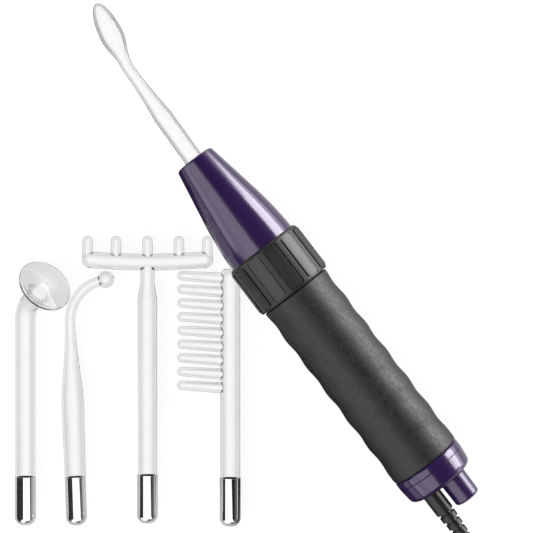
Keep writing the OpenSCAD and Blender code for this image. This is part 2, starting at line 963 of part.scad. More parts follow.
// flared underside, round rim, then a shallow dome
function head_outline(w) =
    let (rim = arc_points(head_d / 2 - rim_r, head_len, rim_r - w, -60, 75, 6), top = rim[6])
    concat(
        [[0, 0], [mush_d / 2 - w, 0]],
        bend_points([mush_d / 2 - w, head_len - 8], [mush_d / 2 - w, head_len - 4.5 + w], rim[0], 6),
        rim,
        [for (i = [1:6]) let (u = 1 - i / 6) [top[0] * u, top[1] + dome_rise * (1 - u * u)]]);

module mushroom_form(w, from) {
    rod(mush_d / 2 - w, from, mush_len);
    translate([0, 0, mush_len]) {
        elbow(mush_d / 2 - w, mush_turn, mush_bend);
        past_bend(mush_turn, mush_bend)
            rotate_extrude()
                polygon(head_outline(w));
    }
}

module mushroom_glass() {
    color("lightcyan") lay(mush_at, 0, mush_rise) rotate([0, 0, mush_roll]) union() {
        glass_root(mush_d / 2);
        difference() {
            mushroom_form(0, cap_len);
            mushroom_form(glass_wall, cap_len - 1);
        }
    }
}

module mushroom_cap() {
    color("silver") lay(mush_at, 0, mush_rise)
        electrode_cap();
}

ball_wide_at = 66;
ball_rise = max(cap_d, ball_body_d) / 2;
ball_bend = 77;
ball_neck = 2.6;

function ball_outline(w, from) = concat(
    [[0, from], [cap_d / 2 - w, from], [cap_d / 2 - w, cap_len],
        [ball_body_d / 2 - w, ball_wide_at - 8], [ball_body_d / 2 - w, ball_wide_at]],
    [for (i = [1:10]) let (u = i / 10)
        [ball_neck_d / 2 - w + (ball_body_d - ball_neck_d) * (pow(1 - u, 1.5) + pow(1 - u, 3) * u) / 2,
            ball_wide_at + u * (ball_len - ball_wide_at)]],
    [[0, ball_len]]);

module ball_form(w, from) {
    rotate_extrude()
        polygon(ball_outline(w, from));
    translate([0, 0, ball_len]) {
        elbow(ball_neck_d / 2 - w, ball_turn, ball_bend);
        past_bend(ball_turn, ball_bend) {
            rod(ball_neck_d / 2 - w, 0, ball_neck);
            translate([0, 0, ball_neck])
                sphere(r = ball_d / 2 - w);
        }
    }
}

module ball_glass() {
    color("lightcyan") lay(ball_at, ball_lean, ball_rise) union() {
        glass_root(cap_d / 2);
        difference() {
            ball_form(0, cap_len);
            ball_form(glass_wall, cap_len - 1);
        }
    }
}

module ball_cap() {
    color("silver") lay(ball_at, ball_lean, ball_rise)
        electrode_cap();
}

bar_turn = 380;
rake_neck = 12;
bar_half_angle = asin((bar_len - bar_d) / 2 / bar_turn);

module bar(r) {
    translate([0, 0, rake_len + bar_turn])
        rotate([90, 0, 0])
            rotate([0, 0, -90 - bar_half_angle])
                rotate_extrude(angle = 2 * bar_half_angle)
                    translate([bar_turn, 0])
                        circle(r = r);
}

module bar_ends(r) {
    for (i = [-1, 1])
        translate([0, 0, rake_len + bar_turn])
            rotate([0, -i * bar_half_angle, 0])
                translate([0, 0, -bar_turn])
                    sphere(r = r + bead);
}

module prongs(r, l) {
    for (i = [-2:2])
        translate([i * prong_step - (abs(i) == 2 ? sign(i) * 1.7 : 0), 0, rake_len])
            capsule(r, r + 0.3, l);
}

function rake_outline(w, from) =
    [[0, from], [rake_d / 2 - w, from], [rake_d / 2 - w, rake_len - rake_neck - 8],
        [rake_neck_d / 2 - w, rake_len - rake_neck], [rake_neck_d / 2 - w, rake_len], [0, rake_len]];

module rake_form(w, from) {
    rotate_extrude()
        polygon(rake_outline(w, from));
    bar(bar_d / 2 - w);
    bar_ends(bar_d / 2 - w);
    prongs(prong_d / 2 - w, prong_len - w);
}

module rake_glass() {
    color("lightcyan") lay(rake_at, 0, cap_d / 2) union() {
        glass_root(rake_d / 2);
        difference() {
            rake_form(0, cap_len);
            rake_form(glass_wall, cap_len - 1);
        }
    }
}

module rake_cap() {
    color("silver") lay(rake_at, 0, cap_d / 2)
        electrode_cap();
}

tooth_tilt = 3.7;
first_tooth = 5.4;
comb_rise = max(cap_d, comb_d) / 2;

module teeth(w) {
    for (i = [0:tooth_count - 1])
        translate([0, 0, comb_len - first_tooth - i * tooth_step])
            rotate([0, tooth_tilt - 90, 0])
                capsule(tooth_d / 2 - w, tooth_root_d / 2 - w, comb_d / 2 + tooth_len - w);
}

module comb_tube(r, from, to) {
    translate([0, 0, from])
        rotate_extrude()
            polygon(concat(
                [[0, 0], [r, 0]],
                arc_points(r - 3.6, to - from - 3.6, 3.6, 0, 75, 5),
                [[0, to - from]]));
}

module comb_glass() {
    color("lightcyan") lay(comb_at, 0, comb_rise) union() {
        glass_root(comb_d / 2);
        difference() {
            union() {
                comb_tube(comb_d / 2, cap_len, comb_len);
                teeth(0);
            }
            comb_tube(comb_d / 2 - glass_wall, cap_len - 1, comb_len - glass_wall);
            teeth(glass_wall);
        }
    }
}

module comb_cap() {
    color("silver") lay(comb_at, 0, comb_rise)
        electrode_cap();
}

module lead_connector() {
    color("black") handpiece() at_plug() difference() {
        union() {
            oblong(tongue_w, tongue_h, end_cap_back - tongue_len, plug_front);
            oblong(plug_w, plug_h, plug_front, plug_back - 0.6);
            oblong(plug_w - 1, plug_h - 1, plug_back - 0.6, plug_back);
        }
        for (i = [-1, 1])
            translate([i * pin_half, 0, 0])
                rod(pin_r + 0.1, end_cap_back - tongue_len - 1, inlet_front + 0.5);
    }
}

function rib_r(i) = plug_w / 2 - 0.35 - (plug_w / 2 - cord_r - 1.3) * i / rib_count;

module strain_relief() {
    color("black") handpiece() at_plug() union() {
        translate([0, 0, plug_back])
            cylinder(r1 = relief_front_r, r2 = cord_r + 0.6, h = relief_len);
        for (i = [0:rib_count - 1])
            translate([0, 0, plug_back + rib_front + rib_step * i])
                cylinder(r = rib_r(i), h = rib_t);
    }
}

module cord_run() {
    color("black") translate([exit_at[0], exit_at[1], 0])
        tube(run_points, cord_r, 8, 22.5);
}

// the coil winds in, out, in and out again, and climbs a layer where it turns back
function coil_leg(t) = let (u = t / layer_turns, k = floor(u)) k % 2 == 0 ? u - k : 1 - u + k;

function coil_climb(t) =
    let (k = round(t / layer_turns))
    k == 0 ? 0 : k == coil_layers ? coil_layers - 1
        : k - 1 + min(1, max(0, (t - k * layer_turns) * 2 + 0.5));

function coil_point(t) =
    let (r = coil_outer - coil_step * layer_turns * coil_leg(t), a = -90 - 360 * t)
    [coil_at[0] + r * cos(a), coil_at[1] + r * sin(a), coil_low + coil_step * coil_climb(t)];

coil_rings = round(coil_turns * 24);
coil_route = concat(
    [[coil_at[0] + cord_d, coil_at[1] - coil_outer, coil_low]],
    [for (i = [0:coil_rings]) coil_point(i * coil_turns / coil_rings)],
    [[tail_at[0], tail_at[1], coil_high]]);

module cord_coil() {
    echo(least_coil_gap = min([for (i = [0:len(coil_route) - 13])
        min([for (j = [i + 12:len(coil_route) - 1]) norm(coil_route[i] - coil_route[j])])]) - cord_d);
    color("black") tube(coil_route, cord_r, 6, 90);
}

module coil_tie() {
    color("dimgray") translate([coil_at[0], coil_at[1], 0])
        rotate([0, 0, 45])
            translate([(coil_inner + coil_outer) / 2, tie_w / 2, 0])
                rotate([90, 0, 0])
                    linear_extrude(tie_w)
                        translate([0, (coil_high + cord_r + 0.2 + tie_t) / 2])
                            difference() {
                                round_plate(coil_outer - coil_inner + cord_d + 1 + 2 * tie_t,
                                    coil_high + cord_r + 0.2 + tie_t, 2);
                                round_plate(coil_outer - coil_inner + cord_d + 1,
                                    coil_high + cord_r + 0.2 - tie_t, 1.4);
                            }
}

module cord_tail() {
    color("black") translate([tail_at[0], tail_at[1], 0])
        tube(tail_points, cord_r, 8, 22.5);
}

module at_mains() {
    translate([mains_at[0], mains_at[1], mains_t / 2])
        rotate([-90, 0, 0])
            children();
}

module plug_relief() {
    color("black") at_mains()
        union() {
            translate([0, 0, -plug_relief_len])
                cylinder(r1 = cord_r + 0.8, r2 = cord_r + 2, h = plug_relief_len);
            for (i = [0:4])
                rod(cord_r + 2.4 - 0.2 * i, -3 * i - 2.8, -3 * i - 1.2);
        }
}

module mains_plug() {
    color("black") translate([mains_at[0], mains_at[1], 0])
        linear_extrude(mains_t)
            polygon(concat(
                [[-mains_back_half, 0], [mains_back_half, 0]],
                arc_points(mains_half - 4, mains_len - 12, 4, -30, 0, 3),
                [[mains_half, mains_len], [-mains_half, mains_len]],
                arc_points(4 - mains_half, mains_len - 12, 4, 180, 210, 3)));
}

module plug_pins() {
    color("silver") at_mains()
        for (i = [-1, 1])
            translate([i * mains_pin_half, 0, 0])
                rod(mains_pin_r, mains_len, mains_len + mains_pin_len);
}

nose_cone();
collar();
handle_tube();
foam_grip();
end_cap();
power_inlet();
inlet_pins();
spindle_bush();
knob();
knob_spindle();
contact_carriage();
fixed_contact();
reed_post();
reed();
armature();
reed_contact();
magnet_core();
magnet_bobbin();
magnet_winding();
magnet_bracket();
bracket_screws();
chassis_board();
capacitor();
coil_former();
secondary_winding();
primary_winding();
socket_insulator();
socket_sleeve();
contact_plunger();
plunger_clip();
plunger_spring();
spring_washer();
high_voltage_lead();
primary_lead();
supply_lead();
return_lead();
leaf_glass();
leaf_cap();
mushroom_glass();
mushroom_cap();
ball_glass();
ball_cap();
rake_glass();
rake_cap();
comb_glass();
comb_cap();
lead_connector();
strain_relief();
cord_run();
cord_coil();
coil_tie();
cord_tail();
plug_relief();
mains_plug();
plug_pins();
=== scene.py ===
import math

import bpy
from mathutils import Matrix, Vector

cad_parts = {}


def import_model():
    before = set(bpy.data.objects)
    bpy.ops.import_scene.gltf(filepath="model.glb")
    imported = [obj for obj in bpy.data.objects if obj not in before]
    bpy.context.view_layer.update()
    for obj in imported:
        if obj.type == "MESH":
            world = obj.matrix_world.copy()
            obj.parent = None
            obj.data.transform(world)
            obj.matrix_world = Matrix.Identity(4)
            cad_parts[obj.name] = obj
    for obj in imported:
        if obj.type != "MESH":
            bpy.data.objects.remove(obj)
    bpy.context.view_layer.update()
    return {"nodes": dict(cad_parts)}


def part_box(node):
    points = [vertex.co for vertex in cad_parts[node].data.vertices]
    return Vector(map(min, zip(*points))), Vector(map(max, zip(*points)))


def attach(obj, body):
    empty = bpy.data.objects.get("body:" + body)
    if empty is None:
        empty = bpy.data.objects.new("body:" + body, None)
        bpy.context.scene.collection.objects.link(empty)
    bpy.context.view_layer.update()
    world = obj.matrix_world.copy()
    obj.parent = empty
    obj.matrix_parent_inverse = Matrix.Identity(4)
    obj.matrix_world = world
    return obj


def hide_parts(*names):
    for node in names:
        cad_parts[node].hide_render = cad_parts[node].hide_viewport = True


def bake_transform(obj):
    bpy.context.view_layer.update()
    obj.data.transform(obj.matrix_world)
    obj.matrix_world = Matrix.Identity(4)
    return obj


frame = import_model()
nodes = frame["nodes"]
scene = bpy.context.scene
print("frame loaded:", len(nodes), "nodes")

# the wand lies along X, nose forwards
noseLow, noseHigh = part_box("nose_cone")
noseX = noseHigh.x
wandY = (noseLow.y + noseHigh.y) / 2
axisZ = (noseLow.z + noseHigh.z) / 2
mmPerMetre = 1000


def link(obj):
    scene.collection.objects.link(obj)
    return obj


# camera straight over the set, turned so that the spare electrodes stand upright in the picture
cameraView = {"behindNose": 0.0682, "beside": 0.004, "above": 0.880, "turn": -127.5,
              "lens": 112.1, "sensor": 36}

cameraData = bpy.data.cameras.new("overheadCamera")
cameraData.lens = cameraView["lens"]
cameraData.sensor_width = cameraView["sensor"]
cameraObj = link(bpy.data.objects.new("overheadCamera", cameraData))
cameraObj.location = (noseX - cameraView["behindNose"], wandY + cameraView["beside"],
                      axisZ + cameraView["above"])
cameraObj.rotation_euler = (0, 0, math.radians(cameraView["turn"]))
scene.camera = cameraObj
scene.view_settings.view_transform = "Standard"
print("camera set")

# light crosses many walls of glass
glassBounces = 32
scene.cycles.max_bounces = glassBounces
scene.cycles.transmission_bounces = glassBounces
scene.cycles.glossy_bounces = glassBounces


# node helpers, for the finishes, the sleeve's tree and the room
def addNode(tree, kind, **values):
    node = tree.nodes.new(kind)
    for key, value in values.items():
        if hasattr(node, key):
            setattr(node, key, value)
        else:
            node.inputs[key].default_value = value
    return node


# a number is set on the socket, anything else is wired to it
def feed(tree, value, socket):
    if isinstance(value, (int, float)):
        socket.default_value = value
    else:
        tree.links.new(value, socket)


def calc(tree, kind, first, second=0.0):
    node = addNode(tree, "ShaderNodeMath", operation=kind)
    feed(tree, first, node.inputs[0])
    feed(tree, second, node.inputs[1])
    return node.outputs[0]


def objectPoint(tree, stretch=(1, 1, 1)):
    coord = addNode(tree, "ShaderNodeTexCoord")
    mapping = addNode(tree, "ShaderNodeMapping", Scale=stretch)
    feed(tree, coord.outputs["Object"], mapping.inputs["Vector"])
    return mapping.outputs["Vector"]


def noise(tree, point, scale, detail=3.0, rough=0.55):
    tex = addNode(tree, "ShaderNodeTexNoise", Scale=scale, Detail=detail, Roughness=rough)
    feed(tree, point, tex.inputs["Vector"])
    return tex.outputs["Fac"]


# colour ramp through stops of (place, colour)
def ramp(tree, value, stops):
    node = addNode(tree, "ShaderNodeValToRGB")
    marks = node.color_ramp.elements
    for mark, (place, color) in zip(marks, (stops[0], stops[-1])):
        mark.position = place
        mark.color = (*color, 1)
    for place, color in stops[1:-1]:
        marks.new(place).color = (*color, 1)
    feed(tree, value, node.inputs["Fac"])
    return node.outputs["Color"]


noiseLow, noiseHigh = 0.3, 0.7  # most of a noise lies between these


def spread(tree, value, low, high):
    node = addNode(tree, "ShaderNodeMapRange")
    limits = {"From Min": noiseLow, "From Max": noiseHigh, "To Min": low, "To Max": high}
    for key, limit in limits.items():
        node.inputs[key].default_value = limit
    feed(tree, value, node.inputs["Value"])
    return node.outputs["Result"]


def bumps(tree, height, strength, depth, under=None):
    node = addNode(tree, "ShaderNodeBump", Strength=strength, Distance=depth)
    feed(tree, height, node.inputs["Height"])
    if under:
        feed(tree, under, node.inputs["Normal"])
    return node.outputs["Normal"]


def grey(tone):
    return tone, tone, tone


def shades(color, amount):
    darker = tuple(c * (1 - amount) for c in color)
    lighter = tuple(min(1, c * (1 + amount)) for c in color)
    return darker, lighter


def newFinish(name, color, roughness, metallic=0.0, **sockets):
    mat = bpy.data.materials.new(name)
    mat.use_nodes = True
    shader = mat.node_tree.nodes["Principled BSDF"].inputs
    shader["Base Color"].default_value = (*color, 1)
    shader["Roughness"].default_value = roughness
    shader["Metallic"].default_value = metallic
    for key, value in sockets.items():
        shader[key.replace("_", " ")].default_value = value
    return mat, mat.node_tree, shader


# moulded or cast finish: soft colour clouding, uneven gloss and a fine grain
def grainFinish(name, color, roughness, vary=0.08, cloud=70, grain=1400, strength=0.1,
                depth=0.00006, metallic=0.0, roughVary=0.05, stretch=(1, 1, 1), **sockets):
    mat, tree, shader = newFinish(name, color, roughness, metallic, **sockets)
    point = objectPoint(tree, stretch)
    clouds = noise(tree, point, cloud)
    fine = noise(tree, point, grain, detail=2.0)
    low, high = shades(color, vary)
    feed(tree, ramp(tree, clouds, ((noiseLow, low), (noiseHigh, high))), shader["Base Color"])
    gloss = spread(tree, fine, roughness - roughVary, roughness + roughVary)
    feed(tree, gloss, shader["Roughness"])
    feed(tree, bumps(tree, fine, strength, depth), shader["Normal"])
    return mat


purpleShell = {"color": (0.030, 0.0105, 0.070), "roughness": 0.2, "vary": 0.06, "cloud": 45,
               "grain": 1100, "strength": 0.02, "depth": 0.00003, "roughVary": 0.02,
               "Specular_IOR_Level": 0.7, "Specular_Tint": (0.9, 0.81, 1.0, 1.0),
               "Coat_Weight": 0.7, "Coat_Roughness": 0.12}
drawnMetal = {"metallic": 1.0, "grain": 2200, "strength": 0.08, "stretch": (1, 6, 6)}

grainFinishes = {
    "purpleShell": purpleShell,
    "purpleKnob": {**purpleShell, "roughness": 0.3, "Coat_Roughness": 0.25},
    "collarGrain": {"color": (0.018, 0.018, 0.019), "roughness": 0.42, "vary": 0.15, "cloud": 160,
                    "grain": 2600, "strength": 0.3, "depth": 0.00006, "roughVary": 0.08,
                    "Specular_IOR_Level": 0.6},
    "plugBlack": {"color": (0.012, 0.012, 0.013), "roughness": 0.36, "vary": 0.12, "cloud": 120,
                  "grain": 2400, "strength": 0.15, "depth": 0.00005},
    "cordRubber": {"color": (0.010, 0.010, 0.011), "roughness": 0.45, "vary": 0.15, "cloud": 90,
                   "grain": 1800, "strength": 0.15, "depth": 0.00005},
    "capChrome": {"color": (0.86, 0.86, 0.87), "roughness": 0.07, "vary": 0.03, "cloud": 200,
                  "grain": 900, "strength": 0.01, "depth": 0.00002, "metallic": 1.0,
                  "roughVary": 0.02},
    "tubePlastic": {"color": (0.04, 0.04, 0.042), "roughness": 0.45},
    "brass": {"color": (0.62, 0.43, 0.16), "roughness": 0.26, **drawnMetal},
    "steel": {"color": (0.56, 0.57, 0.58), "roughness": 0.3, **drawnMetal},
    "iron": {"color": (0.2, 0.2, 0.21), "roughness": 0.45, "metallic": 1.0, "vary": 0.2},
    "silverContact": {"color": (0.8, 0.79, 0.76), "roughness": 0.2, "metallic": 1.0},
    "laminate": {"color": (0.2, 0.1, 0.045), "roughness": 0.5, "vary": 0.25, "cloud": 60,
                 "stretch": (1, 8, 8)},
    "waxPaper": {"color": (0.5, 0.4, 0.18), "roughness": 0.55, "vary": 0.15},
    "ivoryInsulator": {"color": (0.78, 0.74, 0.64), "roughness": 0.35, "vary": 0.04},
    "redLead": {"color": (0.4, 0.03, 0.02), "roughness": 0.45},
    "brownLead": {"color": (0.14, 0.06, 0.025), "roughness": 0.45},
    "blueLead": {"color": (0.03, 0.07, 0.4), "roughness": 0.45},
}
finishes = {name: grainFinish(name, **p) for name, p in grainFinishes.items()}

# enamelled wire laid turn by turn along X, with painted shade in the grooves between turns and a
# painted highlight on their crests
copperWire = {"color": (0.55, 0.2, 0.08), "width": 0.0006, "roughness": 0.3, "vary": 0.35,
              "paintedGrooveShade": 0.1, "paintedCrestHighlight": 0.8, "strength": 0.6, "depth": 0.0002}
fineWire = {**copperWire, "color": (0.32, 0.1, 0.04), "width": 0.0003}


def woundFinish(name, p):
    mat, tree, shader = newFinish(name, p["color"], p["roughness"], metallic=1.0)
    bands = addNode(tree, "ShaderNodeTexWave", wave_type="BANDS", bands_direction="X",
                    Scale=1 / (math.pi * p["width"]))
    feed(tree, objectPoint(tree), bands.inputs["Vector"])
    turns = bands.outputs["Fac"]
    low, high = shades(p["color"], p["vary"])
    # colour darker toward the grooves between turns and lighter toward the crests: painted shade
    # and painted highlight
    feed(tree, ramp(tree, turns, ((p["paintedGrooveShade"], low), (p["paintedCrestHighlight"], high))), shader["Base Color"])
    feed(tree, bumps(tree, turns, p["strength"], p["depth"]), shader["Normal"])
    return mat


finishes["copperWire"] = woundFinish("copperWire", copperWire)
finishes["fineWire"] = woundFinish("fineWire", fineWire)

# clear blown glass with faint ripples; edge is the painted shade, the tone from face on to edge on
clearGlass = {"color": (0.975, 0.978, 0.978), "ior": 1.47, "ripple": 55, "depth": 0.00008,
              "strength": 0.04, "gloss": 0.35,
              "edge": ((0.06, 0.95), (0.13, 0.88), (0.3, 0.81), (0.6, 0.74), (1.0, 0.6))}
# the fitted electrode is clearer in its middle, with a darker painted shade in outline
leafGlass = {**clearGlass, "color": (0.99, 0.992, 0.992), "gloss": 0.2,
             "edge": ((0.06, 0.98), (0.2, 0.955), (0.36, 0.82), (0.48, 0.5), (0.62, 0.18),
                      (1.0, 0.04))}


def glassFinish(name, p):
    mat, tree, shader = newFinish(name, p["color"], 0.0, Transmission_Weight=1.0, IOR=p["ior"],
                                  Specular_Tint=(*grey(p["gloss"]), 1))
    # base colour greys from face on to edge on: painted shade along the glass's outline
    facing = addNode(tree, "ShaderNodeLayerWeight").outputs["Facing"]
    tones = [(0.0, p["color"])] + [(place, grey(tone)) for place, tone in p["edge"]]
    feed(tree, ramp(tree, facing, tones), shader["Base Color"])
    ripple = noise(tree, objectPoint(tree), p["ripple"], detail=1.0)
    feed(tree, bumps(tree, ripple, p["strength"], p["depth"]), shader["Normal"])
    return mat


finishes["clearGlass"] = glassFinish("clearGlass", clearGlass)
finishes["leafGlass"] = glassFinish("leafGlass", leafGlass)

# closed-cell foam: matt skin with fine pores and a soft mottle
foamSkin = {"color": (0.0065, 0.0065, 0.007), "roughness": 0.53, "gloss": 0.62, "roughVary": 0.1,
            "mottle": 420, "mottleRough": 0.65, "mottleVary": 0.4, "mottleBand": (0.25, 0.75),
            "mottleStrength": 0.12, "mottleDepth": 0.0002,
            "pore": 2600, "poreStrength": 0.6, "poreDepth": 0.00012}


def foamFinish(p):
    mat, tree, shader = newFinish("foamSkin", p["color"], p["roughness"],
                                  Specular_IOR_Level=p["gloss"])
    point = objectPoint(tree)
    pores = noise(tree, point, p["pore"], detail=2.0)
    mottle = noise(tree, point, p["mottle"], rough=p["mottleRough"])
    tones = list(zip(p["mottleBand"], shades(p["color"], p["mottleVary"])))
    feed(tree, ramp(tree, mottle, tones), shader["Base Color"])
    gloss = spread(tree, mottle, p["roughness"] - p["roughVary"], p["roughness"] + p["roughVary"])
    feed(tree, gloss, shader["Roughness"])
    coarse = bumps(tree, mottle, p["mottleStrength"], p["mottleDepth"])
    feed(tree, bumps(tree, pores, p["poreStrength"], p["poreDepth"], coarse), shader["Normal"])
    return mat


finishes["foamSkin"] = foamFinish(foamSkin)

finishOf = {
    "purpleShell": ["nose_cone", "end_cap"],
    "purpleKnob": ["knob"],
    "collarGrain": ["collar"],
    "plugBlack": ["lead_connector", "strain_relief", "mains_plug", "plug_relief", "power_inlet"],
    "cordRubber": ["coil_tie"],
    "capChrome": ["leaf_cap", "mushroom_cap", "ball_cap", "rake_cap", "comb_cap"],
    "leafGlass": ["leaf_glass"],
    "clearGlass": ["mushroom_glass", "ball_glass", "rake_glass", "comb_glass"],
    "tubePlastic": ["handle_tube"],
    "brass": ["inlet_pins", "spindle_bush", "contact_carriage", "reed_post", "socket_sleeve",
              "contact_plunger", "spring_washer"],
    "steel": ["knob_spindle", "reed", "magnet_bracket", "bracket_screws", "plunger_clip",
              "plug_pins"],
    "iron": ["armature", "magnet_core"],
    "silverContact": ["fixed_contact", "reed_contact"],
    "copperWire": ["magnet_winding", "primary_winding"],
    "fineWire": ["secondary_winding"],
    "laminate": ["chassis_board", "magnet_bobbin", "coil_former"],
    "waxPaper": ["capacitor"],
    "ivoryInsulator": ["socket_insulator"],
    "redLead": ["high_voltage_lead", "primary_lead"],
    "brownLead": ["supply_lead"],
    "blueLead": ["return_lead"],
}
for finish, names in finishOf.items():
    for name in names:
        nodes[name].data.materials.clear()
        nodes[name].data.materials.append(finishes[finish])
print("finishes set:", len(finishes))

# mains lead, in millimetres: out of the strain relief, down to the table, a coil, then the plug
leadCord = {
    "thick": 4.4, "turns": 10.25, "layers": 4, "inner": 20.5, "gap": 0.5, "perTurn": 24,
    "low": 2.9, "toCoil": 56, "smooth": 4, "rounding": 3,
    "run": [(-5, 21.9), (-13, 20.8), (-21, 17.6), (-28, 12.4), (-35, 7.2), (-43, 4), (-51, 2.9)],
    "tail": [(0, 5, 17.6), (-1, 13, 16.4), (-3, 22, 13.6), (-5, 31, 10.2), (-6.5, 40, 7.8),
             (-7, 49, 6.8), (-7, 54, 6.8)],
}


# layers are wound inwards and outwards by turns, and the cord climbs over half a turn between them
def coilPoints(p, centreX, centreY, outer):
    step = p["thick"] + p["gap"]
    layerTurns = p["turns"] / p["layers"]
    count = round(p["turns"] * p["perTurn"])
    points = []
    for i in range(count + 1):
        turn = i * p["turns"] / count
        laid = turn / layerTurns
        whole = math.floor(laid)
        inwards = laid - whole if whole % 2 == 0 else 1 - laid + whole
        change = round(laid)
        if change == 0:
            climb = 0
        elif change == p["layers"]:
            climb = p["layers"] - 1
        else:
            climb = change - 1 + min(1, max(0, (turn - change * layerTurns) * 2 + 0.5))
        radius = outer - step * layerTurns * inwards
        angle = math.radians(-90 - 360 * turn)
        points.append((centreX + radius * math.cos(angle), centreY + radius * math.sin(angle),
                       p["low"] + step * climb))
    return points


def leadRoute(p):
    reliefLow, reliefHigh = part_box("strain_relief")
    exitX = reliefLow.x * mmPerMetre
    exitY = (reliefLow.y + reliefHigh.y) / 2 * mmPerMetre
    step = p["thick"] + p["gap"]
    outer = p["inner"] + step * p["turns"] / p["layers"]
    coilX = exitX - p["toCoil"]
    centreX, centreY = coilX - p["thick"], exitY + outer
    tailX, tailY = centreX - outer, centreY + p["thick"]
    points = [(exitX, exitY, axisZ * mmPerMetre)]
    points += [(exitX + x, exitY, z) for x, z in p["run"]]
    points += [(coilX, exitY, p["low"])]
    points += coilPoints(p, centreX, centreY, outer)
    points += [(tailX, tailY, p["low"] + step * (p["layers"] - 1))]
    points += [(tailX + x, tailY + y, z) for x, y, z in p["tail"]]
    return [Vector(point) / mmPerMetre for point in points]


cordPath = leadRoute(leadCord)
cordCurve = bpy.data.curves.new("leadCord", "CURVE")
cordCurve.dimensions = "3D"
cordLine = cordCurve.splines.new("BEZIER")
cordLine.bezier_points.add(len(cordPath) - 1)
for knot, spot in zip(cordLine.bezier_points, cordPath):
    knot.co = spot
    knot.handle_left_type = knot.handle_right_type = "AUTO"
cordLine.resolution_u = leadCord["smooth"]
cordCurve.bevel_depth = leadCord["thick"] / 2 / mmPerMetre
cordCurve.bevel_resolution = leadCord["rounding"]
cordCurve.use_fill_caps = True
cordCurve.materials.append(finishes["cordRubber"])
cordObj = link(bpy.data.objects.new("leadCord", cordCurve))
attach(cordObj, "lead")
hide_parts("cord_run", "cord_coil", "cord_tail")

# foam sleeve over the handle tube, lathed by a node tree: finger waves, eased ends, faint lumps
foamSleeve = {"Mean Radius": 0.0196, "Bore Radius": 0.01705, "Wave Rise": 0.00036,
              "Wave Length": 0.018, "Wave Count": 6, "End Power": 5.0, "End Ease": 0.0022,
              "Uneven": 0.00022, "lumpsAlong": 70.0, "lumpsAround": 1.3,
              "along": 300, "around": 144, "weld": 0.000001}
sleeveInputs = ("Front X", "Length", "Wand Y", "Axis Z", "Mean Radius", "Bore Radius", "Wave Rise",
                "Wave Length", "Wave Count", "End Power", "End Ease", "Uneven")


